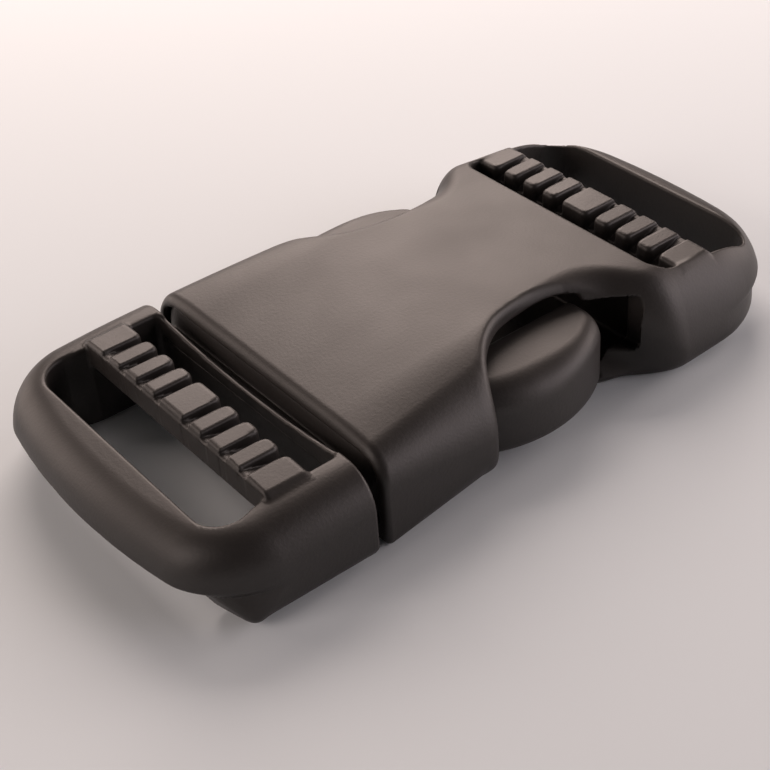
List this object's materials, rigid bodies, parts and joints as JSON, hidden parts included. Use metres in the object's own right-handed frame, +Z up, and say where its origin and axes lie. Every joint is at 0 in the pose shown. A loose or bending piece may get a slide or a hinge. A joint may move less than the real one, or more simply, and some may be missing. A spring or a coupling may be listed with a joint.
{
  "type": "side release buckle",
  "caption": "Side release buckle for flat webbing, fastened: a prong insert locked in a waisted socket, each end with a toothed webbing bar.",
  "frame": {"origin": "under the middle of the fastened buckle, on the surface it rests on", "axes": "+X along the buckle from the prong insert to the socket, +Y across it, +Z up, out of the side with the teeth"},
  "size_m": [0.068, 0.0348, 0.0105],
  "materials": {
    "insert_acetal": "satin black acetal with a fine moulded grain",
    "socket_acetal": "satin black acetal with a fine moulded grain"
  },
  "bodies": {
    "root": {"prong_insert": "insert_acetal", "socket": "socket_acetal"}
  },
  "joints": []
}
